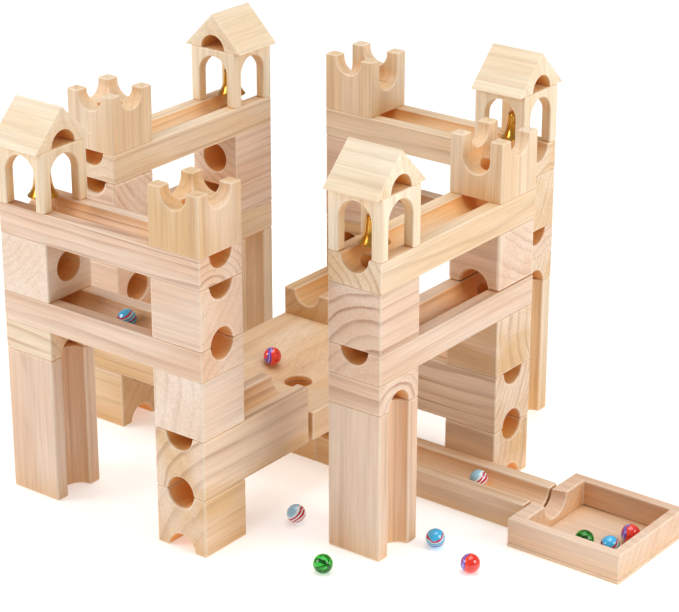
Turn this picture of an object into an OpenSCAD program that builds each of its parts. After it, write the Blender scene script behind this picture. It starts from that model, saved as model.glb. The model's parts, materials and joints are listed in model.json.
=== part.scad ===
// Wooden marble run: four arms set round a centre board like a pinwheel.
// Each arm is a pair of grooved rails laid between a crown tower and a house tower.
// The origin is on the floor, under the middle of the centre board's drain hole.
// +X runs along the exit rail to the tray, +Z is up.

/* [Blocks] */
// Side of a cube, which is also the width of every rail and beam
unit = 48; // [44:1:52]
// Length of a rail
rail_len = 200; // [196:1:208]
// Radius of the drilled channels and grooves
channel_r = 12.5; // [11:0.5:13]
// Radius of the holes that marbles drop through at a rail's end
drop_r = 10; // [9:0.5:10.5]

/* [Layout] */
// Distance from the centre to the crown tower of the left, back and right arms
arm_reach = 154; // [152:1:160]
// The same distance for the front arm, which has the longer beam
front_reach = 178; // [172:1:186]
// Gap between the front arm's beam and the centre board
front_gap = 5; // [2:1:8]

/* [Centre board] */
// Side of the square board
board_side = 144; // [140:1:148]
// Radius of the bowl's rim
bowl_r = 69; // [64:1:69]
// Depth of the bowl at the drain hole
bowl_depth = 19; // [12:1:20]
// Radius of the drain hole
drain_r = 11.5; // [10:0.5:12]
// Length of the block under the board
centre_block_len = 74; // [72:1:78]

/* [Houses] */
// Radius of the arches
arch_r = 15; // [13:0.5:16]
// Wood left above the arches
house_ceiling = 6; // [4:0.5:8]
// Width of a roof across its ridge
roof_w = 62; // [54:1:68]

/* [Bells] */
// Radius of a bell at its rim
bell_r = 12; // [10:0.5:12]
// Height of a bell
bell_h = 22; // [20:0.5:24]
// Space between the rim and the rail below it
bell_gap = 4; // [3:0.5:5]
// Radius of the wire of the hanging rings
ring_wire = 0.7; // [0.5:0.1:0.8]

/* [Tray] */
// Length of the tray along the exit rail
tray_len = 98; // [90:1:110]
// Width of the tray
tray_w = 96; // [90:1:110]
// Thickness of the wall that the marbles cross
entry_wall = 12.5; // [10:0.5:16]
// Thickness of the other walls
side_wall = 8.5; // [6:0.5:12]
// Thickness of the tray's bottom panel
panel_t = 3; // [2:0.5:4]

/* [Marbles] */
// Radius of a marble
marble_r = 7.5; // [6.5:0.1:7.6]

/* [Hidden] */
$fn = 64;

// Arms, in the order that they go round the board
FRONT = 0;
LEFT = 1;
BACK = 2;
RIGHT = 3;
ARMS = [FRONT, LEFT, BACK, RIGHT];
arm_turn = [0, -90, 180, 90];

// Heights of the storeys
rail_t = unit / 2;
beam_z = unit;
lower_cube_z = 2 * unit;
column_h = 2.5 * unit;
lower_rail_z = 3 * unit;
upper_cube_z = lower_rail_z + rail_t;
upper_rail_z = upper_cube_z + unit;
top_z = upper_rail_z + rail_t;
roof_z = top_z + unit;

// Plan
tower_pitch = rail_len - unit;
side_step = board_side / 2 - unit / 2;
exit_x = centre_block_len / 2;
tray_gap = 2;
tray_x = exit_x + rail_len + tray_gap;
board_z = unit;
board_t = unit / 2;

// Crown grooves, measured down from the top
shallow = 0.31 * unit;
deep = 0.6 * unit;

// Bells
ceiling_z = roof_z - house_ceiling;
rim_z = top_z + bell_gap;
bell_top_z = rim_z + bell_h;
bell_wall = 1.1;
bell_shoulder = 3;
bell_waist = 6.5;
ring_r = 2.6;
ring_lift = 0.3;
ring_clearance = 0.2;
ring_z = bell_top_z + ring_r + ring_lift;
pivot_z = ring_z + ring_r - 2 * ring_wire - ring_clearance;
hook_z = pivot_z + ring_r;
stem_r = 1.4;
screw_r = 0.9;
clapper_r = 3;
clapper_rod_r = 0.6;
clapper_z = top_z + 1 + clapper_r;

// Marbles
rolling_gap = 0.3;
in_groove = marble_r + rolling_gap - channel_r;
swirl_r = 27;
slope_lift = 1.08;
rail_marble_x = -22;
exit_marble_x = 180;
tray_spots = [[290, -20], [310, -16], [313, 9]];
floor_spots = [[89, -115], [154, -165], [197, -82], [240, -98]];
eps = 0.5;

wood_pale = "BlanchedAlmond";
wood_warm = "Wheat";
wood_dark = "BurlyWood";
brass = "Goldenrod";

function reach(arm) = arm == FRONT ? front_reach : arm_reach;

// Depth of the bowl below the board's top at radius r
function bowl_drop(r) = bowl_depth * pow((bowl_r - r) / (bowl_r - drain_r), 1.4);

// Outer radius of a bell, t = 0 at its top and 1 at its rim
function bell_curve(t) = bell_waist + (bell_r - bell_waist) * (0.25 * t + 0.75 * pow(t, 4));

// Local frame of an arm: origin under its crown tower, rails towards -X, board towards +Y
module on_arm(arm) {
  rotate([0, 0, arm_turn[arm]])
    translate([side_step, -reach(arm), 0])
      children();
}

// The same frame moved to the arm's house tower
module on_house(arm) {
  on_arm(arm)
    translate([-tower_pitch, 0, 0])
      children();
}

// House tower, turned so that +X is the whole object's +X
module on_house_square(arm) {
  on_house(arm)
    rotate([0, 0, -arm_turn[arm]])
      children();
}

module block(length, width, height) {
  translate([-length / 2, -width / 2, 0])
    cube([length, width, height]);
}

// Round channel along X, centred on the origin
module channel_x(length, r = channel_r) {
  rotate([0, 90, 0])
    cylinder(r = r, h = length, center = true);
}

module channel_y(length, r = channel_r) {
  rotate([90, 0, 0])
    cylinder(r = r, h = length, center = true);
}

// Cube with a channel that comes in from above and turns out of its +X face
module elbow_cube() {
  past_centre = drop_r + 1;
  difference() {
    block(unit, unit, unit);
    translate([0, 0, unit / 2])
      cylinder(r = drop_r, h = unit);
    translate([unit / 2, 0, unit / 2])
      channel_x(unit + 2 * past_centre);
  }
}

// Rail along X from the crown tower past the house tower, with one hole to drop through
module rail(drop_x) {
  difference() {
    translate([-tower_pitch / 2, 0, 0])
      block(rail_len, unit, rail_t);
    translate([-tower_pitch / 2, 0, rail_t])
      channel_x(rail_len + 2 * eps);
    translate([drop_x, 0, -eps])
      cylinder(r = drop_r, h = unit);
  }
}

// Groove with a round bottom, cut down from the origin
module crown_groove(depth) {
  translate([0, 0, channel_r - depth])
    channel_x(unit + 2 * eps);
  translate([-unit / 2 - eps, -channel_r, channel_r - depth])
    cube([unit + 2 * eps, 2 * channel_r, unit]);
}

// Top block of a crown tower: four corner posts between two crossed grooves
module crown(arm) {
  along = (arm == BACK || arm == RIGHT) ? deep : shallow;
  color(wood_pale)
    on_arm(arm)
      translate([0, 0, top_z])
        difference() {
          block(unit, unit, unit);
          translate([0, 0, unit])
            crown_groove(along);
          translate([0, 0, unit])
            rotate([0, 0, 90])
              crown_groove(shallow);
          translate([0, 0, -eps])
            cylinder(r = drop_r, h = unit);
        }
}

module upper_rail(arm) {
  color(wood_pale)
    on_arm(arm)
      translate([0, 0, upper_rail_z])
        rail(-tower_pitch);
}

module lower_rail(arm) {
  color(wood_pale)
    on_arm(arm)
      translate([0, 0, lower_rail_z])
        rail(0);
}

// Cube between the rails on a crown tower, grooved above and below along the rails
module upper_cube(arm) {
  color(wood_warm)
    on_arm(arm)
      translate([0, 0, upper_cube_z])
        difference() {
          block(unit, unit, unit);
          channel_x(unit + 2 * eps);
          translate([0, 0, unit])
            channel_x(unit + 2 * eps);
        }
}

// Cube below the lower rail, which sends the marble in towards the board
module lower_cube(arm) {
  color(wood_warm)
    on_arm(arm)
      translate([0, 0, lower_cube_z])
        rotate([0, 0, 90])
          elbow_cube();
}

// Beam that carries the marble from its tower to the board, grooved above and below
module beam(arm) {
  end_gap = arm == FRONT ? front_gap : 0;
  beam_len = reach(arm) + unit / 2 - board_side / 2 - end_gap;
  color(wood_dark)
    on_arm(arm)
      translate([0, (beam_len - unit) / 2, beam_z])
        difference() {
          block(unit, beam_len, unit);
          channel_y(beam_len + 2 * eps);
          translate([0, 0, unit])
            channel_y(beam_len + 2 * eps);
        }
}

module base_cubes() {
  color(wood_warm)
    for (arm = ARMS)
      on_arm(arm)
        difference() {
          block(unit, unit, unit);
          channel_y(unit + 2 * eps);
          translate([0, 0, unit])
            channel_y(unit + 2 * eps);
        }
}

// Gabled roof with a half-round notch along the foot of its ridge line
module roof(arm) {
  ridge_turn = arm == RIGHT ? 90 : 0;
  color(wood_pale)
    on_house(arm)
      translate([0, 0, roof_z])
        rotate([0, 0, ridge_turn])
          rotate([90, 0, 90])
            linear_extrude(unit, center = true)
              difference() {
                polygon([[-roof_w / 2, 0], [roof_w / 2, 0], [0, roof_w / 2]]);
                circle(r = channel_r);
              }
}

// House block: arches through both ways leave four legs under a solid ceiling
module house(arm) {
  spring_z = unit - house_ceiling - arch_r;
  color(wood_pale)
    on_house(arm)
      translate([0, 0, top_z])
        difference() {
          block(unit, unit, unit);
          for (turn = [0, 90])
            rotate([0, 0, turn])
              union() {
                translate([0, 0, spring_z])
                  channel_x(unit + 2 * eps, arch_r);
                translate([0, 0, -eps])
                  block(unit + 2 * eps, 2 * arch_r, spring_z + eps);
              }
        }
}

// Cube between the rails on a house tower, which sends the marble back along the lower rail
module house_cube(arm) {
  color(wood_warm)
    on_house(arm)
      translate([0, 0, upper_cube_z])
        elbow_cube();
}

// Half blocks on the columns, grooved below; the left arm's lies the other way round
module half_blocks() {
  color(wood_warm)
    for (arm = ARMS)
      on_house_square(arm)
        translate([0, 0, column_h])
          rotate([0, 0, arm == LEFT ? 90 : 0])
            difference() {
              block(unit, unit, rail_t);
              channel_x(unit + 2 * eps);
            }
}

module house_columns() {
  color(wood_warm)
    for (arm = ARMS)
      on_house_square(arm)
        difference() {
          block(unit, unit, column_h);
          translate([unit / 2, 0, -eps])
            cylinder(r = channel_r, h = column_h + 2 * eps);
        }
}

// Wire ring that stands upright, its hole along Y
module wire_ring() {
  rotate([90, 0, 0])
    rotate_extrude()
      translate([ring_r, 0])
        circle(r = ring_wire, $fn = 32);
}

// Flared bell with a ring on top, hung in the middle of its house
module bell(arm) {
  steps = 16;
  shoulder = [for (a = [0 : 15 : 75]) [
    bell_waist - bell_shoulder + bell_shoulder * sin(a),
    bell_h - bell_shoulder + bell_shoulder * cos(a)
  ]];
  flare = [for (i = [0 : steps]) [bell_curve(i / steps), (bell_h - bell_shoulder) * (1 - i / steps)]];
  inside = [for (i = [steps : -1 : 0]) [
    bell_curve(i / steps) - bell_wall,
    (bell_h - bell_shoulder) * (1 - i / steps)
  ]];
  crown_z = bell_h - bell_wall;
  color(brass)
    on_house(arm)
      union() {
        translate([0, 0, rim_z])
          rotate_extrude()
            polygon(concat([[0, bell_h]], shoulder, flare, inside, [[0, crown_z - bell_shoulder + 1]]));
        translate([0, 0, ring_z])
          wire_ring();
        translate([0, 0, bell_top_z - eps])
          cylinder(r = stem_r, h = 1);
      }
}

module clapper(arm) {
  rod_top = rim_z + bell_h - bell_wall - bell_shoulder + 1;
  color(brass)
    on_house(arm)
      union() {
        translate([0, 0, clapper_z])
          sphere(r = clapper_r);
        translate([0, 0, clapper_z])
          cylinder(r = clapper_rod_r, h = rod_top - clapper_z, $fn = 24);
      }
}

// Screw eyes in the house ceilings, one for each bell
module bell_hooks() {
  color(brass)
    for (arm = ARMS)
      on_house(arm)
        union() {
          translate([0, 0, hook_z])
            rotate([0, 0, 90])
              wire_ring();
          translate([0, 0, hook_z + ring_r])
            cylinder(r = screw_r, h = ceiling_z - hook_z - ring_r);
        }
}

// Square board with a round bowl that runs down to the drain hole
module centre_board() {
  steps = 14;
  slope = [for (i = [0 : steps]) let (r = drain_r + (bowl_r - drain_r) * i / steps) [r, -bowl_drop(r)]];
  color(wood_pale)
    translate([0, 0, board_z])
      difference() {
        block(board_side, board_side, board_t);
        translate([0, 0, board_t])
          rotate_extrude()
            polygon(concat([[0, -bowl_depth]], slope, [[bowl_r, 1], [0, 1]]));
        translate([0, 0, -eps])
          cylinder(r = drain_r, h = board_t);
      }
}

// Block under the board: the marble falls in from above and leaves on the exit rail
module centre_block() {
  exit_r = channel_r - 0.1;
  color(wood_dark)
    difference() {
      block(centre_block_len, unit, unit);
      translate([0, 0, rail_t])
        cylinder(r = channel_r, h = unit);
      translate([(exit_x - channel_r) / 2 + eps, 0, rail_t])
        channel_x(exit_x + channel_r, exit_r);
    }
}

module exit_rail() {
  color(wood_pale)
    difference() {
      translate([exit_x + rail_len / 2, 0, 0])
        block(rail_len, unit, rail_t);
      translate([exit_x + rail_len / 2, 0, rail_t])
        channel_x(rail_len + 2 * eps);
    }
}

// Frame of the tray, with a notch that widens as it crosses the entry wall
module tray_frame() {
  notch_flare = 3;
  color(wood_pale)
    difference() {
      translate([tray_x, -tray_w / 2, panel_t])
        cube([tray_len, tray_w, rail_t - panel_t]);
      translate([tray_x + entry_wall, side_wall - tray_w / 2, 0])
        cube([tray_len - entry_wall - side_wall, tray_w - 2 * side_wall, unit]);
      translate([tray_x - eps, 0, rail_t])
        rotate([0, 90, 0])
          cylinder(r1 = channel_r, r2 = channel_r + notch_flare, h = entry_wall + 2 * eps);
    }
}

module tray_panel() {
  color(wood_warm)
    translate([tray_x, -tray_w / 2, 0])
      cube([tray_len, tray_w, panel_t]);
}

module marble() {
  sphere(r = marble_r);
}

// Marble on the front arm's lower rail
module rail_marble() {
  color("SkyBlue")
    translate([rail_marble_x, -front_reach, upper_cube_z + in_groove])
      marble();
}

// Marble that circles in the bowl
module board_marble() {
  lift = marble_r * slope_lift + rolling_gap;
  color("Red")
    translate([-swirl_r, 0, board_z + board_t - bowl_drop(swirl_r) + lift])
      marble();
}

// Marble on its way to the tray
module exit_marble() {
  color("White")
    translate([exit_marble_x, 0, rail_t + in_groove])
      marble();
}

module tray_marbles() {
  color("SeaGreen")
    for (p = tray_spots)
      translate([p[0], p[1], panel_t + marble_r])
        marble();
}

// Spare marbles on the floor round the tray
module floor_marbles() {
  color("SteelBlue")
    for (p = floor_spots)
      translate([p[0], p[1], marble_r])
        marble();
}

crown(FRONT);  // front_crown
crown(LEFT);  // left_crown
crown(BACK);  // back_crown
crown(RIGHT);  // right_crown
upper_rail(FRONT);  // front_upper_rail
upper_rail(LEFT);  // left_upper_rail
upper_rail(BACK);  // back_upper_rail
upper_rail(RIGHT);  // right_upper_rail
upper_cube(FRONT);  // front_upper_cube
upper_cube(LEFT);  // left_upper_cube
upper_cube(BACK);  // back_upper_cube
upper_cube(RIGHT);  // right_upper_cube
lower_rail(FRONT);  // front_lower_rail
lower_rail(LEFT);  // left_lower_rail
lower_rail(BACK);  // back_lower_rail
lower_rail(RIGHT);  // right_lower_rail
lower_cube(FRONT);  // front_lower_cube
lower_cube(LEFT);  // left_lower_cube
lower_cube(BACK);  // back_lower_cube
lower_cube(RIGHT);  // right_lower_cube
beam(FRONT);  // front_beam
beam(LEFT);  // left_beam
beam(BACK);  // back_beam
beam(RIGHT);  // right_beam
base_cubes();
roof(FRONT);  // front_roof
roof(LEFT);  // left_roof
roof(BACK);  // back_roof
roof(RIGHT);  // right_roof
house(FRONT);  // front_house
house(LEFT);  // left_house
house(BACK);  // back_house
house(RIGHT);  // right_house
house_cube(FRONT);  // front_house_cube
house_cube(LEFT);  // left_house_cube
house_cube(BACK);  // back_house_cube
house_cube(RIGHT);  // right_house_cube
bell(FRONT);  // front_bell
bell(LEFT);  // left_bell
bell(BACK);  // back_bell
bell(RIGHT);  // right_bell
clapper(FRONT);  // front_clapper
clapper(LEFT);  // left_clapper
clapper(BACK);  // back_clapper
clapper(RIGHT);  // right_clapper
bell_hooks();
half_blocks();
house_columns();
centre_board();
centre_block();
exit_rail();
tray_frame();
tray_panel();
rail_marble();
board_marble();
exit_marble();
tray_marbles();
floor_marbles();
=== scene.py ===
import json
import math

import bmesh
import bpy
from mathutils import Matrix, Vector

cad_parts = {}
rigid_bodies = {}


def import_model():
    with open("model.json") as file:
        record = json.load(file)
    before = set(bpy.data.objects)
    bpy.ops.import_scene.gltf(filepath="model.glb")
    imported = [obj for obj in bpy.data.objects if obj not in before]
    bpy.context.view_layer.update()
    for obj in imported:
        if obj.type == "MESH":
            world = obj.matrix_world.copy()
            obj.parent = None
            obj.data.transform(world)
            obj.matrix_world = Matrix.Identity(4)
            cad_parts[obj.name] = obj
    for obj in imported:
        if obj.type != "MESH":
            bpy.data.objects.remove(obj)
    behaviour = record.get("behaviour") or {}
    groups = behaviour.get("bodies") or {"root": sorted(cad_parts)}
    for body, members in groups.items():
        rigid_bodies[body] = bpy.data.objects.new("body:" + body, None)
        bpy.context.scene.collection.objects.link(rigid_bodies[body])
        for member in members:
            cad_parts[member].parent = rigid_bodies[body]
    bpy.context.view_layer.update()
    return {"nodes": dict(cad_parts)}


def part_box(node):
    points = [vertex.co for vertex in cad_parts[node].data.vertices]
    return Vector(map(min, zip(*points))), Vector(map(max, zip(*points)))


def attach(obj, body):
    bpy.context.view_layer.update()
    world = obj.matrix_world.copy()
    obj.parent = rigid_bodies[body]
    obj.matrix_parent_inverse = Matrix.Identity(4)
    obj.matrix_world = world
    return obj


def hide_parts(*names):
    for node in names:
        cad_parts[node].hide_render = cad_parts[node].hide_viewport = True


# Looks of a wooden marble run: pine blocks, brass bells, glass marbles, soft studio light.
# An arm is named by the side of the centre board that it stands on: front is -Y, left is -X,
# back is +Y and right is +X.

for left_over in list(bpy.data.objects):
    bpy.data.objects.remove(left_over)
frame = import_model()

MM = 0.001
ARMS = ("front", "left", "back", "right")


# ---------------------------------------------------------------- node helpers

def add_node(tree, kind, inputs=None, **settings):
    """A new shader or geometry node. An input given as a socket is linked, anything else is a value."""
    made = tree.nodes.new(kind)
    for key, value in settings.items():
        setattr(made, key, value)
    for key, value in (inputs or {}).items():
        if isinstance(value, bpy.types.NodeSocket):
            tree.links.new(value, made.inputs[key])
        else:
            made.inputs[key].default_value = value
    return made


def math_node(tree, operation, a, b=0.0):
    return add_node(tree, "ShaderNodeMath", {0: a, 1: b}, operation=operation).outputs[0]


def vector_node(tree, operation, a, b=(0, 0, 0)):
    return add_node(tree, "ShaderNodeVectorMath", {0: a, 1: b}, operation=operation).outputs[0]


def length_across(tree, vector):
    """Length of a vector without its Z."""
    across = vector_node(tree, "MULTIPLY", vector, (1, 1, 0))
    return add_node(tree, "ShaderNodeVectorMath", {0: across}, operation="LENGTH").outputs["Value"]


def ramp(tree, value, low, high, out_low=0.0, out_high=1.0):
    """Smooth step from out_low at value low to out_high at value high."""
    inputs = {"Value": value, "From Min": low, "From Max": high, "To Min": out_low, "To Max": out_high}
    made = add_node(tree, "ShaderNodeMapRange", inputs, interpolation_type="SMOOTHSTEP")
    return made.outputs[0]


def noise(tree, vector, scale, detail=2.0, output="Fac"):
    """Soft noise from 0 to 1. The scale says how fast it changes along each axis."""
    inputs = {"Vector": vector_node(tree, "MULTIPLY", vector, scale), "Scale": 1.0, "Detail": detail}
    return add_node(tree, "ShaderNodeTexNoise", inputs).outputs[output]


def mix_colour(tree, factor, a, b, blend="MIX"):
    inputs = {0: factor, 6: a, 7: b}
    return add_node(tree, "ShaderNodeMix", inputs, data_type="RGBA", blend_type=blend).outputs[2]


def object_place(tree):
    """Position on the piece, which is its place in the frame, in metres."""
    return add_node(tree, "ShaderNodeTexCoord").outputs["Object"]


def new_material(name):
    material = bpy.data.materials.new(name)
    material.use_nodes = True
    tree = material.node_tree
    shader = tree.nodes["Principled BSDF"]
    return material, tree, shader


def new_group(name, kind, inputs, outputs):
    """A node group with (label, type) sockets, the inputs it starts from and the outputs it ends in."""
    group = bpy.data.node_groups.new(name, kind)
    for in_out, sockets in (("INPUT", inputs), ("OUTPUT", outputs)):
        for label, socket in sockets:
            group.interface.new_socket(label, in_out=in_out, socket_type="NodeSocket" + socket)
    start = group.nodes.new("NodeGroupInput").outputs
    end = group.nodes.new("NodeGroupOutput").inputs
    return group, start, end


def rgb(red, green, blue):
    return (red, green, blue, 1.0)


# ---------------------------------------------------------------- pine

# Turns that bring a grain direction onto the local Z axis
GRAIN_TURN = {
    "x": (0, -math.pi / 2, 0),
    "y": (math.pi / 2, 0, 0),
    "z": (0, 0, 0),
}

TONES = {
    # name: (light, warm, dark line)
    "straw": (rgb(0.85, 0.73, 0.56), rgb(0.80, 0.63, 0.43), rgb(0.55, 0.33, 0.17)),
    "cream": (rgb(0.79, 0.63, 0.46), rgb(0.75, 0.53, 0.32), rgb(0.46, 0.24, 0.11)),
    "pink": (rgb(0.78, 0.60, 0.47), rgb(0.74, 0.51, 0.36), rgb(0.38, 0.18, 0.10)),
    "blush": (rgb(0.83, 0.69, 0.58), rgb(0.79, 0.61, 0.47), rgb(0.50, 0.30, 0.20)),
    "honey": (rgb(0.78, 0.60, 0.45), rgb(0.68, 0.44, 0.22), rgb(0.36, 0.18, 0.09)),
    "tan": (rgb(0.74, 0.53, 0.33), rgb(0.66, 0.42, 0.20), rgb(0.40, 0.19, 0.07)),
    "orange": (rgb(0.71, 0.46, 0.24), rgb(0.62, 0.34, 0.13), rgb(0.32, 0.13, 0.04)),
}
# Painted bounce light, laid orange inside the bores
BORE_BOUNCE_LIGHT = rgb(0.92, 0.44, 0.12)
# Painted highlight on the bevelled edges
EDGE_HIGHLIGHT = rgb(0.93, 0.80, 0.64)
# Painted warm shade, multiplied in between the blocks
WARM_SHADE = rgb(1.0, 0.80, 0.52)

# How far the rings wander off a circle, and how far a neighbour shades a face, both in metres
RING_WANDER = 0.011
SHADE_REACH = 0.045

# Share of a ring at which its dark line is darkest
RING_EDGE = 0.90

# Points nearer than this to a block's upright middle line are in that block, in metres
BLOCK_REACH = 0.05


def ring_lines(tree, position, place, spacing):
    """Late wood of wandering growth rings about the local Z axis, from 0 to 1 on the darkest lines."""
    wander = noise(tree, place, (24, 24, 5), output="Color")
    wander = vector_node(tree, "SUBTRACT", wander, (0.5, 0.5, 0.5))
    wander = vector_node(tree, "MULTIPLY", wander, (RING_WANDER, RING_WANDER, 0.0))
    radius = length_across(tree, vector_node(tree, "ADD", position, wander))
    phase = math_node(tree, "DIVIDE", radius, spacing)
    uneven = add_node(tree, "ShaderNodeTexNoise", {"W": phase, "Scale": 0.6}, noise_dimensions="1D")
    phase = math_node(tree, "ADD", phase, uneven.outputs[0])
    part = math_node(tree, "FRACT", phase)
    rise = math_node(tree, "POWER", ramp(tree, part, 0.30, RING_EDGE), 2.2)
    fall = ramp(tree, part, RING_EDGE, 1.0, 1.0, 0.0)
    line = math_node(tree, "MULTIPLY", rise, fall)
    year = math_node(tree, "FLOOR", phase)
    depth = add_node(tree, "ShaderNodeTexWhiteNoise", {"W": year}, noise_dimensions="1D").outputs["Value"]
    line = math_node(tree, "MULTIPLY", line, ramp(tree, depth, 0.0, 1.0, 0.45, 1.0))
    fade = noise(tree, place, (30, 30, 9), 1.0)
    return math_node(tree, "MULTIPLY", line, ramp(tree, fade, 0.3, 0.65, 0.45, 1.0))


def fibres(tree, place):
    """Long fibres and fine flecks along the local Z axis, from 0 to 1."""
    fibre = math_node(tree, "MULTIPLY", noise(tree, place, (520, 520, 14), 3.0), 0.7)
    fleck = math_node(tree, "MULTIPLY", noise(tree, place, (1700, 1700, 70)), 0.3)
    return math_node(tree, "ADD", fibre, fleck)


def pine_group():
    """Growth rings about the local Z axis, fibres along it, and slow changes of tone."""
    inputs = [("Position", "Vector")]
    inputs += [(name, "Float") for name in ("Spacing", "Strength", "Seed")]
    inputs += [(name, "Color") for name in ("Light", "Warm", "Dark")]
    outputs = [("Colour", "Color"), ("Height", "Float")]
    group, start, end = new_group("pine", "ShaderNodeTree", inputs, outputs)

    seed = start["Seed"]
    shift = add_node(group, "ShaderNodeCombineXYZ", {0: seed, 1: seed, 2: seed}).outputs[0]
    place = vector_node(group, "ADD", start["Position"], shift)
    line = ring_lines(group, start["Position"], place, start["Spacing"])
    fine = fibres(group, place)

    patch = noise(group, place, (26, 26, 7))
    colour = mix_colour(group, ramp(group, patch, 0.35, 0.68), start["Light"], start["Warm"])
    darkness = math_node(group, "MULTIPLY", line, start["Strength"])
    colour = mix_colour(group, darkness, colour, start["Dark"])
    inputs = {0: colour, "Scale": ramp(group, fine, 0.32, 0.68, 0.90, 1.06)}
    shaded = add_node(group, "ShaderNodeVectorMath", inputs, operation="SCALE").outputs[0]
    group.links.new(shaded, end["Colour"])
    height = math_node(group, "ADD", math_node(group, "MULTIPLY", line, 0.5), fine)
    group.links.new(height, end["Height"])
    return group


PINE = pine_group()


def cut_wood(tree, place, centre, cut):
    """Pine with its grain along an axis of the frame and its pith at an offset in mm from the centre."""
    grain, pith, spacing, strength, tone, seed = cut
    light, warm, dark = TONES[tone]
    heart = centre + Vector(pith) * MM
    local = vector_node(tree, "SUBTRACT", place, tuple(heart))
    turned = add_node(tree, "ShaderNodeMapping", {"Vector": local, "Rotation": GRAIN_TURN[grain]})
    inputs = {
        "Position": turned.outputs[0],
        "Spacing": spacing * MM,
        "Strength": strength,
        "Seed": seed,
        "Light": light,
        "Warm": warm,
        "Dark": dark,
    }
    wood = add_node(tree, "ShaderNodeGroup", inputs, node_tree=PINE)
    return wood.outputs["Colour"], wood.outputs["Height"]


def pick_block(tree, place, centre):
    """1 inside the block that stands round the centre, 0 in the node's other blocks."""
    distance = length_across(tree, vector_node(tree, "SUBTRACT", place, tuple(centre)))
    return math_node(tree, "LESS_THAN", distance, BLOCK_REACH)


def paint_light_on_wood(tree, colour):
    """Paints warm shade between the blocks, orange bounce light inside the bores and pale highlights on
    the bevelled edges.
    """
    inputs = {"Distance": SHADE_REACH}
    occlusion = add_node(tree, "ShaderNodeAmbientOcclusion", inputs, samples=8).outputs["AO"]
    # Painted shade: a warm darker tint where neighbouring blocks hide a face
    colour = mix_colour(tree, ramp(tree, occlusion, 0.25, 0.95, 0.9, 0.0), colour, WARM_SHADE, "MULTIPLY")
    bore = add_node(tree, "ShaderNodeAttribute", attribute_name="bore").outputs["Fac"]
    # Painted bounce light: orange in the bores, strongest where they are most enclosed
    painted_bore_light = math_node(tree, "MULTIPLY", bore, ramp(tree, occlusion, 0.05, 0.70, 0.95, 0.05))
    colour = mix_colour(tree, painted_bore_light, colour, BORE_BOUNCE_LIGHT)
    # Painted highlight: a paler colour on the bevelled edge faces
    edge = add_node(tree, "ShaderNodeAttribute", attribute_name="edge").outputs["Fac"]
    return mix_colour(tree, math_node(tree, "MULTIPLY", edge, 0.32), colour, EDGE_HIGHLIGHT)


def pine(name, cuts):
    """Pine for one node. Cuts are (centre, cut) pairs, one for each block in the node."""
    material, tree, shader = new_material(name)
    place = object_place(tree)
    colour, height = cut_wood(tree, place, *cuts[0])
    for centre, cut in cuts[1:]:
        other, other_height = cut_wood(tree, place, centre, cut)
        inside = pick_block(tree, place, centre)
        colour = mix_colour(tree, inside, colour, other)
        height = add_node(tree, "ShaderNodeMix", {0: inside, 2: height, 3: other_height}).outputs[0]
    tree.links.new(paint_light_on_wood(tree, colour), shader.inputs["Base Color"])
    bump = add_node(tree, "ShaderNodeBump", {"Height": height, "Strength": 0.25, "Distance": 0.2 * MM})
    tree.links.new(bump.outputs[0], shader.inputs["Normal"])
    tree.links.new(ramp(tree, height, 0.2, 1.2, 0.46, 0.62), shader.inputs["Roughness"])
    shader.inputs["Specular IOR Level"].default_value = 0.35
    return material


# ---------------------------------------------------------------- rounded edges

MERGE_DISTANCE = 0.000002

# A face whose normal has a larger part than this along one axis is flat, not part of a curve
FLAT_NORMAL = 0.9995

# Angles in degrees: between faces that are one flat face, and at edges that are rounded
FLAT_ANGLE = 0.4
EDGE_ANGLE = 38
BEVEL_STEPS = 3


def store_on_faces(group, geometry, name, value):
    """Stores a number on each face under a name that materials read."""
    inputs = {"Geometry": geometry, "Name": name, "Value": value}
    stored = add_node(group, "GeometryNodeStoreNamedAttribute", inputs, data_type="FLOAT", domain="FACE")
    return stored.outputs[0]


def clean_group():
    """Geometry nodes that join the faces of a CAD mesh and mark the ones inside its bores."""
    inputs = (("Geometry", "Geometry"), ("Highest normal", "Float"))
    group, start, end = new_group("clean", "GeometryNodeTree", inputs, (("Geometry", "Geometry"),))
    inputs = {"Geometry": start[0], "Distance": MERGE_DISTANCE}
    merged = add_node(group, "GeometryNodeMergeByDistance", inputs).outputs[0]
    inputs = {"Geometry": merged, "Name": "custom_normal"}
    bare = add_node(group, "GeometryNodeRemoveAttribute", inputs).outputs[0]
    normal = add_node(group, "GeometryNodeInputNormal").outputs[0]
    parts = add_node(group, "ShaderNodeSeparateXYZ", {0: vector_node(group, "ABSOLUTE", normal)}).outputs
    largest = math_node(group, "MAXIMUM", math_node(group, "MAXIMUM", parts[0], parts[1]), parts[2])
    curved = math_node(group, "LESS_THAN", largest, FLAT_NORMAL)
    upward = add_node(group, "ShaderNodeSeparateXYZ", {0: normal}).outputs[2]
    inside = math_node(group, "MULTIPLY", curved, math_node(group, "LESS_THAN", upward, start[1]))
    marked = store_on_faces(group, bare, "bore", inside)
    smooth = add_node(group, "GeometryNodeSetShadeSmooth", {"Geometry": marked})
    group.links.new(smooth.outputs[0], end[0])
    return group


def edge_group():
    """Geometry nodes that mark the bevelled edges, which carry the second material slot."""
    geometry = (("Geometry", "Geometry"),)
    group, start, end = new_group("edges", "GeometryNodeTree", geometry, geometry)
    slot = add_node(group, "GeometryNodeInputMaterialIndex").outputs[0]
    group.links.new(store_on_faces(group, start[0], "edge", slot), end[0])
    return group


CLEAN = clean_group()
EDGES = edge_group()


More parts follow.
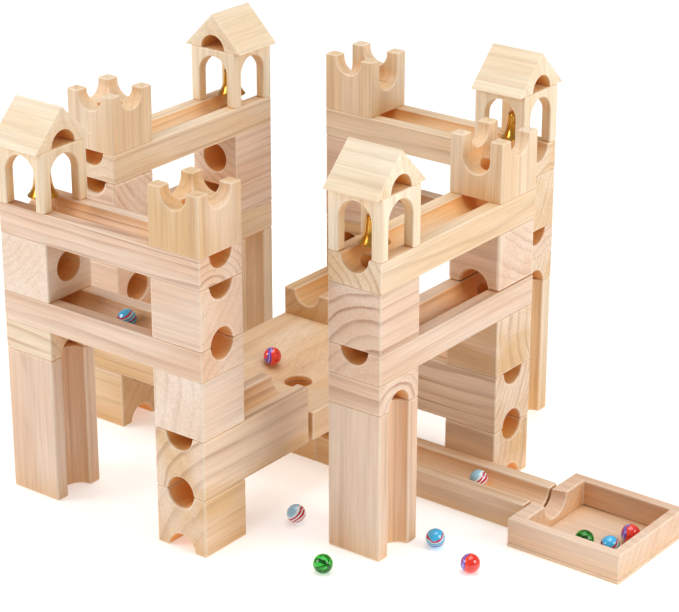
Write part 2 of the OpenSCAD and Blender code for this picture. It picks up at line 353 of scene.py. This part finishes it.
def round_edges(piece, width, highest_normal):
    """Sanded edges of the given width in mm, as modifiers only."""
    clean = piece.modifiers.new("clean", "NODES")
    clean.node_group = CLEAN
    clean["Socket_1"] = highest_normal
    flat = piece.modifiers.new("flat", "DECIMATE")
    flat.decimate_type = "DISSOLVE"
    flat.angle_limit = math.radians(FLAT_ANGLE)
    bevel = piece.modifiers.new("bevel", "BEVEL")
    bevel.width = width * MM
    bevel.segments = BEVEL_STEPS
    bevel.limit_method = "ANGLE"
    bevel.angle_limit = math.radians(EDGE_ANGLE)
    bevel.use_clamp_overlap = False
    bevel.miter_outer = "MITER_ARC"
    bevel.material = 1
    piece.modifiers.new("edges", "NODES").node_group = EDGES
    weighted = piece.modifiers.new("weighted", "WEIGHTED_NORMAL")
    weighted.keep_sharp = False
    weighted.weight = 80


# ---------------------------------------------------------------- wood of each node

# Axis of each arm's rails, and the axis square to it
LONG = {"front": "x", "left": "y", "back": "x", "right": "y"}
CROSS = {"front": "y", "left": "x", "back": "y", "right": "x"}


def arm_cuts(arm, index):
    """Cut of each block of an arm: grain, pith offset in mm, ring spacing in mm, strength, tone."""
    along, over = LONG[arm], CROSS[arm]
    side = 1 if index % 2 else -1
    return {
        "crown": ("z", (60 * side, 34, 0), 7, 0.30, "cream"),
        "upper_rail": (along, (16, 16, -34), 8, 0.45, "cream"),
        "upper_cube": (along, (70, -52 * side, 40), 8, 0.25, "pink"),
        "lower_rail": (along, (-20, 26, -46), 9, 0.40, "pink"),
        "lower_cube": (over, (60, 60, -48), 8, 0.28, "pink"),
        "beam": (over, (60 * side, 40, 56), 10, 0.40, "tan"),
        "roof": ("x", (0, 90, 30), 9, 0.35, "straw"),
        "house": ("z", (70, -44 * side, 0), 8, 0.30, "straw"),
        "house_cube": (along, (40 * side, 40, 60), 8, 0.45, "pink"),
    }


# Nodes with a cut of their own, in the same terms
SEEN_CUTS = {
    "right_house_cube": ("y", (26, 0, -57), 11, 0.80, "pink"),
    "right_lower_rail": ("y", (34, 0, -52), 12, 0.60, "pink"),
    "right_upper_rail": ("y", (-46, 0, -36), 7, 0.60, "cream"),
    "right_upper_cube": ("x", (0, 50, 80), 8, 0.35, "pink"),
    "right_lower_cube": ("x", (0, 85, 12), 11, 0.55, "honey"),
    "right_beam": ("x", (0, -106, 56), 5.5, 0.75, "honey"),
    "front_upper_rail": ("x", (0, -10, -26), 6, 0.70, "pink"),
    "front_upper_cube": ("x", (0, -70, 60), 9, 0.22, "pink"),
    "front_lower_cube": ("y", (-90, 0, 10), 11, 0.32, "blush"),
    "front_beam": ("y", (62, 0, -48), 13, 0.65, "honey"),
    "front_house_cube": ("y", (-70, 0, 80), 6, 0.20, "blush"),
    "back_lower_cube": ("x", (0, 50, 60), 5, 0.85, "orange"),
    "back_house_cube": ("x", (0, -90, 60), 5, 0.75, "cream"),
    "left_upper_cube": ("x", (0, 60, 60), 6, 0.45, "pink"),
    "left_roof": ("y", (60, 0, 40), 9, 0.35, "straw"),
    "front_crown": ("z", (-60, 50, 0), 8, 0.30, "honey"),
    "centre_board": ("y", (50, 0, -90), 11, 0.28, "cream"),
    "centre_block": ("x", (0, 60, 40), 9, 0.35, "tan"),
    "exit_rail": ("x", (0, 60, -40), 9, 0.35, "honey"),
    "tray_frame": ("x", (0, 90, -60), 8, 0.22, "pink"),
    "tray_panel": ("x", (0, 30, -120), 12, 0.20, "blush"),
}

# Nodes with one block in each arm, in the order of ARMS
SHARED_CUTS = {
    "base_cubes": (
        ("y", (80, 0, -60), 13, 0.30, "honey"),
        ("x", (0, 60, -60), 9, 0.30, "tan"),
        ("y", (60, 0, -60), 7, 0.55, "tan"),
        ("x", (0, -100, 20), 9, 0.45, "honey"),
    ),
    "half_blocks": (
        ("x", (0, -60, -40), 8, 0.60, "cream"),
        ("y", (50, 0, -40), 8, 0.45, "cream"),
        ("x", (0, -100, 60), 4.5, 0.85, "cream"),
        ("x", (0, -5, -16), 7, 0.80, "pink"),
    ),
    "house_columns": (
        ("z", (10, 60, 0), 9, 0.40, "pink"),
        ("z", (-50, 60, 0), 10, 0.25, "cream"),
        ("z", (90, 70, 0), 10, 0.20, "cream"),
        ("z", (60, 90, 0), 10, 0.28, "pink"),
    ),
}

# Part of each arm that stands above the arm's block of a shared node
TOWER_PART = {"base_cubes": "crown", "half_blocks": "house", "house_columns": "house"}

# Each block's grain is shifted by this much more than the last block's
SEED_STEP = 0.37

# Edge widths in mm, by node or by part of an arm
EDGE = {
    "upper_cube": 1.6,
    "right_upper_cube": 3.0,
    "left_upper_cube": 3.0,
    "lower_cube": 1.4,
    "beam": 1.4,
    "roof": 0.8,
    "house": 1.2,
    "house_cube": 1.2,
    "base_cubes": 1.6,
    "house_columns": 1.6,
    "half_blocks": 1.2,
    "centre_board": 1.2,
    "centre_block": 1.2,
    "exit_rail": 1.2,
    "tray_frame": 1.2,
    "tray_panel": 0.5,
}
COMMON_EDGE = 1.0

# A curved or slanted face whose normal points further up than this is an open slope, not a bore
OPEN_SLOPE = {"roof": 0.1, "centre_board": 0.3, "house_columns": -1.0}
NO_SLOPE = 2.0


def middle(node):
    low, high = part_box(node)
    return (low + high) / 2


def look_up(table, node, otherwise):
    """What a table says of a node, by its name or by its name without the arm."""
    part = node.split("_", 1)[1]
    return table.get(node, table.get(part, otherwise))


def shared_centres(node):
    """Middle of each arm's block of a shared node."""
    level = middle(node).z
    towers = [middle(arm + "_" + TOWER_PART[node]) for arm in ARMS]
    return [Vector((tower.x, tower.y, level)) for tower in towers]


def wood_table():
    """(centre, cut) pairs of each wooden node, every cut with a seed of its own."""
    table = {}
    for index, arm in enumerate(ARMS):
        for part, cut in arm_cuts(arm, index).items():
            table[arm + "_" + part] = [(middle(arm + "_" + part), cut)]
    for node, cut in SEEN_CUTS.items():
        table[node] = [(middle(node), cut)]
    for node, cuts in SHARED_CUTS.items():
        table[node] = list(zip(shared_centres(node), cuts))
    seed = 0.0
    for pairs in table.values():
        for index, (centre, cut) in enumerate(pairs):
            seed += SEED_STEP
            pairs[index] = (centre, (*cut, seed))
    return table


def dress_wood():
    """Pine on every wooden node, in both material slots, with the second one for the edges."""
    for node, cuts in wood_table().items():
        piece = frame["nodes"][node]
        material = pine(node + "_wood", cuts)
        piece.data.materials.clear()
        piece.data.materials.append(material)
        piece.data.materials.append(material)
        width = look_up(EDGE, node, COMMON_EDGE)
        round_edges(piece, width, look_up(OPEN_SLOPE, node, NO_SLOPE))


# ---------------------------------------------------------------- glass marbles

MARBLE_LOW, MARBLE_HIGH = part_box("rail_marble")
MARBLE_R = (MARBLE_HIGH.z - MARBLE_LOW.z) / 2

# Keeps the visible ball just inside the CAD one
BALL_SHARE = 0.998

# Each style: (height share where a colour starts, colour), from one pole to the other
BANDS = {
    "blue": (
        (0.00, rgb(0.06, 0.50, 0.85)), (0.20, rgb(0.02, 0.04, 0.25)), (0.24, rgb(0.06, 0.50, 0.85)),
        (0.36, rgb(0.01, 0.03, 0.22)), (0.41, rgb(0.45, 0.02, 0.06)), (0.47, rgb(0.10, 0.58, 0.88)),
        (0.60, rgb(0.02, 0.04, 0.25)), (0.64, rgb(0.45, 0.75, 0.88)), (0.72, rgb(0.50, 0.02, 0.06)),
        (0.80, rgb(0.04, 0.48, 0.85)),
    ),
    "red": (
        (0.00, rgb(0.80, 0.02, 0.01)), (0.50, rgb(0.88, 0.04, 0.01)), (0.70, rgb(0.10, 0.04, 0.50)),
        (0.78, rgb(0.55, 0.40, 0.75)), (0.81, rgb(0.12, 0.04, 0.48)), (0.90, rgb(0.72, 0.02, 0.03)),
    ),
    "white": (
        (0.00, rgb(0.90, 0.92, 0.94)), (0.16, rgb(0.62, 0.01, 0.03)), (0.24, rgb(0.90, 0.92, 0.94)),
        (0.32, rgb(0.60, 0.01, 0.04)), (0.44, rgb(0.90, 0.92, 0.94)), (0.52, rgb(0.58, 0.01, 0.04)),
        (0.62, rgb(0.20, 0.12, 0.25)), (0.65, rgb(0.90, 0.92, 0.94)), (0.74, rgb(0.35, 0.65, 0.85)),
    ),
}
BAND_SWAY = 0.35

# Ribbons in a green marble: how many, their reach as a share of its radius, their twist in
# turns, half their width in radians, and the rows of faces along them
RIBBONS = 3
RIBBON_REACH = 0.62
RIBBON_TURNS = 0.75
RIBBON_SPREAD = 0.42
RIBBON_ROWS = 28
RIBBON_COLUMNS = (-1, -0.33, 0.33, 1)

# Marbles with a node of their own: (node, style, slot, tilt of the bands in radians)
ROLLING_MARBLES = (
    ("rail_marble", "blue", "glass_blue", (-0.2, 0.35, 0)),
    ("board_marble", "red", "glass_red", (-1.2, 0.6, 0)),
    ("exit_marble", "white", "glass_white", (-0.4, 0.6, 0)),
)

# Marbles that share a node: (x and y in metres, style, tilt)
TRAY_MARBLES = (
    ((0.290, -0.020), "green", (0.4, 0.5, 0)),
    ((0.310, -0.016), "blue", (-0.35, 0.0, 0)),
    ((0.313, 0.009), "red", (-0.9, 1.2, 0)),
)
FLOOR_MARBLES = (
    ((0.089, -0.115), "white", (-0.5, 0.55, 0)),
    ((0.154, -0.165), "green", (0.7, 1.4, 0)),
    ((0.197, -0.082), "blue", (-0.35, -0.1, 0)),
    ((0.240, -0.098), "red", (-1.0, 1.2, 0)),
)


def band_material(style, centre, tilt):
    """Polished opaque glass with wavy bands square to a tilted axis."""
    material, tree, shader = new_material(style + "_bands")
    place = vector_node(tree, "SUBTRACT", object_place(tree), tuple(centre))
    turned = add_node(tree, "ShaderNodeMapping", {"Vector": place, "Rotation": tilt}).outputs[0]
    local = vector_node(tree, "MULTIPLY", turned, (1 / MARBLE_R,) * 3)
    height = add_node(tree, "ShaderNodeSeparateXYZ", {0: local}).outputs[2]
    sway = math_node(tree, "SUBTRACT", noise(tree, local, (0.9, 0.9, 0.9), 1.0), 0.5)
    sway = math_node(tree, "MULTIPLY", sway, BAND_SWAY)
    level = math_node(tree, "MULTIPLY", math_node(tree, "ADD", height, 1.0), 0.5)
    colours = add_node(tree, "ShaderNodeValToRGB", {0: math_node(tree, "ADD", level, sway)})
    strip = colours.color_ramp
    strip.interpolation = "CONSTANT"
    stops = BANDS[style]
    while len(strip.elements) < len(stops):
        strip.elements.new(1.0)
    for element, (start, colour) in zip(strip.elements, stops):
        element.position = start
        element.color = colour
    tree.links.new(colours.outputs[0], shader.inputs["Base Color"])
    tree.links.new(ramp(tree, sway, -0.2, 0.2, 0.03, 0.10), shader.inputs["Roughness"])
    shader.inputs["Coat Weight"].default_value = 1.0
    shader.inputs["Coat Roughness"].default_value = 0.02
    return material


def green_glass():
    """Clear green glass with faint draw marks."""
    material, tree, shader = new_material("green_glass")
    marks = noise(tree, object_place(tree), (900, 900, 900))
    tree.links.new(ramp(tree, marks, 0.45, 0.75, 0.01, 0.06), shader.inputs["Roughness"])
    shader.inputs["Base Color"].default_value = rgb(0.03, 0.55, 0.05)
    shader.inputs["Transmission Weight"].default_value = 1.0
    shader.inputs["IOR"].default_value = 1.5
    return material


def green_ribbon():
    """Cloudy green of the ribbons inside the clear glass."""
    material, tree, shader = new_material("green_ribbon")
    cloud = noise(tree, object_place(tree), (400, 400, 400))
    colour = mix_colour(tree, ramp(tree, cloud, 0.3, 0.7), rgb(0.005, 0.16, 0.01), rgb(0.06, 0.50, 0.05))
    tree.links.new(colour, shader.inputs["Base Color"])
    tree.links.new(ramp(tree, cloud, 0.3, 0.7, 0.2, 0.5), shader.inputs["Roughness"])
    return material


GREEN_GLASS = green_glass()
GREEN_RIBBON = green_ribbon()


def to_object(name, work):
    mesh = bpy.data.meshes.new(name)
    work.to_mesh(mesh)
    work.free()
    made = bpy.data.objects.new(name, mesh)
    bpy.context.scene.collection.objects.link(made)
    return made


def ball(name, centre, radius):
    """Smooth sphere built from a subdivided icosahedron."""
    work = bmesh.new()
    bmesh.ops.create_icosphere(work, subdivisions=4, radius=radius)
    bmesh.ops.translate(work, verts=work.verts, vec=centre)
    for surface in work.faces:
        surface.smooth = True
    return to_object(name, work)


def ribbon_row(work, radius, phase, share):
    """Points across a ribbon at a share of the way from its lower end to its upper end."""
    height = (2 * share - 1) * radius
    reach = math.sqrt(max(radius * radius - height * height, 0.0)) * 0.92 + 0.2 * MM
    angle = phase + RIBBON_TURNS * 2 * math.pi * share
    spread = RIBBON_SPREAD * math.sin(math.pi * (0.1 + 0.8 * share))
    turns = [angle + side * spread for side in RIBBON_COLUMNS]
    return [work.verts.new((reach * math.cos(turn), reach * math.sin(turn), height)) for turn in turns]


def ribbon(name, centre, radius, phase):
    """Twisted sheet of coloured glass from pole to pole inside a marble."""
    work = bmesh.new()
    rows = [ribbon_row(work, radius, phase, step / RIBBON_ROWS) for step in range(RIBBON_ROWS + 1)]
    for low, high in zip(rows, rows[1:]):
        for index in range(len(RIBBON_COLUMNS) - 1):
            surface = work.faces.new((low[index], low[index + 1], high[index + 1], high[index]))
            surface.smooth = True
    bmesh.ops.translate(work, verts=work.verts, vec=centre)
    made = to_object(name, work)
    thick = made.modifiers.new("thick", "SOLIDIFY")
    thick.thickness = 0.3 * MM
    thick.offset = -1.0
    made.data.materials.append(GREEN_RIBBON)
    return made


def marble(name, centre, style, body, node, tilt):
    """Banded ball of opaque glass, or a clear green one round green ribbons."""
    centre = Vector(centre)
    radius = MARBLE_R * BALL_SHARE
    pieces = [ball(name + "_glass", centre, radius)]
    if style == "green":
        pieces[0].data.materials.append(GREEN_GLASS)
        for index in range(RIBBONS):
            phase = index * 2.1 + tilt[0]
            pieces.append(ribbon(f"{name}_ribbon_{index + 1}", centre, radius * RIBBON_REACH, phase))
    else:
        pieces[0].data.materials.append(band_material(style, centre, tilt))
    for piece in pieces:
        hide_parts(node)
        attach(piece, body)


def spare_marbles(name, body, surface, spots):
    """Marbles on a level surface. Their shared node is named as they are, with an s."""
    for number, ((x, y), style, tilt) in enumerate(spots, 1):
        centre = (x, y, surface + MARBLE_R)
        marble(f"{name}_{number}", centre, style, body, name + "s", tilt)


def all_marbles():
    for node, style, slot, tilt in ROLLING_MARBLES:
        marble(node, middle(node), style, node, node, tilt)
    spare_marbles("tray_marble", "tray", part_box("tray_panel")[1].z, TRAY_MARBLES)
    spare_marbles("floor_marble", "blocks", 0.0, FLOOR_MARBLES)


# ---------------------------------------------------------------- brass

def brass():
    """Polished brass, a little uneven in tone, with fine turning marks."""
    material, tree, shader = new_material("polished_brass")
    place = object_place(tree)
    cloud = noise(tree, place, (160, 160, 160), 3.0)
    turned = noise(tree, place, (40, 40, 2600), 1.0)
    colour = mix_colour(tree, ramp(tree, cloud, 0.35, 0.7), rgb(0.72, 0.38, 0.07), rgb(0.50, 0.22, 0.03))
    tree.links.new(colour, shader.inputs["Base Color"])
    tree.links.new(ramp(tree, cloud, 0.3, 0.8, 0.12, 0.26), shader.inputs["Roughness"])
    bump = add_node(tree, "ShaderNodeBump", {"Height": turned, "Strength": 0.08, "Distance": 0.1 * MM})
    tree.links.new(bump.outputs[0], shader.inputs["Normal"])
    shader.inputs["Metallic"].default_value = 1.0
    return material


def dress_brass():
    metal = brass()
    names = [arm + part for arm in ARMS for part in ("_bell", "_clapper")] + ["bell_hooks"]
    for node in names:
        piece = frame["nodes"][node]
        piece.data.materials.clear()
        piece.data.materials.append(metal)


# ---------------------------------------------------------------- camera, light and floor

# Camera: place in metres, heading and downward tilt in degrees, focal length and sensor in mm
CAMERA_PLACE = (1.1007, -1.3785, 0.8604)
CAMERA_HEADING = 37.61
CAMERA_TILT = 22.70
CAMERA_LENS = 125.4
CAMERA_SENSOR = 36
CAMERA_SHIFT = (0.0057, -0.0047)

# Area lights: (name, place, target, size in metres, watts, colour)
LIGHTS = (
    ("left", (-1.5, -1.5, 1.1), (-0.05, 0, 0.12), 1.2, 25, (1.0, 0.985, 0.97)),
    ("right", (1.65, 0.25, 0.9), (0.1, 0, 0.12), 0.9, 14, (1.0, 0.96, 0.90)),
    ("top", (0.1, 0.1, 2.4), (0.05, 0, 0.1), 1.8, 27, (1, 1, 1)),
)
SKY_STRENGTH = 0.42

# Half the floor's side, in metres
FLOOR_REACH = 40.0


def make_camera():
    data = bpy.data.cameras.new("camera")
    data.sensor_width = CAMERA_SENSOR
    data.lens = CAMERA_LENS
    data.shift_x, data.shift_y = CAMERA_SHIFT
    camera = bpy.data.objects.new("camera", data)
    camera.location = CAMERA_PLACE
    camera.rotation_euler = (math.radians(90 - CAMERA_TILT), 0, math.radians(CAMERA_HEADING))
    bpy.context.scene.collection.objects.link(camera)
    bpy.context.scene.camera = camera


def area_light(name, place, target, size, watts, colour):
    data = bpy.data.lights.new(name, "AREA")
    data.shape = "SQUARE"
    data.size = size
    data.energy = watts
    data.color = colour
    lamp = bpy.data.objects.new(name, data)
    lamp.location = place
    lamp.rotation_euler = (Vector(target) - Vector(place)).to_track_quat("-Z", "Y").to_euler()
    bpy.context.scene.collection.objects.link(lamp)


def make_light():
    world = bpy.data.worlds.new("studio")
    world.use_nodes = True
    sky = world.node_tree.nodes["Background"].inputs
    sky["Color"].default_value = rgb(1.0, 1.0, 1.0)
    sky["Strength"].default_value = SKY_STRENGTH
    bpy.context.scene.world = world
    for light in LIGHTS:
        area_light(*light)
    bpy.context.scene.view_settings.view_transform = "Standard"


def floor_material():
    """Glossy white that glows a little, so that it stays white between the lights."""
    material, tree, shader = new_material("floor_white")
    shader.inputs["Base Color"].default_value = rgb(0.93, 0.93, 0.93)
    shader.inputs["Roughness"].default_value = 0.12
    shader.inputs["Specular IOR Level"].default_value = 0.4
    shader.inputs["Emission Color"].default_value = rgb(1.0, 1.0, 1.0)
    shader.inputs["Emission Strength"].default_value = 0.32
    return material


def make_floor():
    mesh = bpy.data.meshes.new("floor")
    corners = [(x * FLOOR_REACH, y * FLOOR_REACH, 0) for x, y in ((-1, -1), (1, -1), (1, 1), (-1, 1))]
    mesh.from_pydata(corners, [], [(0, 1, 2, 3)])
    mesh.materials.append(floor_material())
    floor = bpy.data.objects.new("floor", mesh)
    bpy.context.scene.collection.objects.link(floor)


# ---------------------------------------------------------------- the scene


make_camera()
make_light()
make_floor()
dress_wood()
dress_brass()
all_marbles()
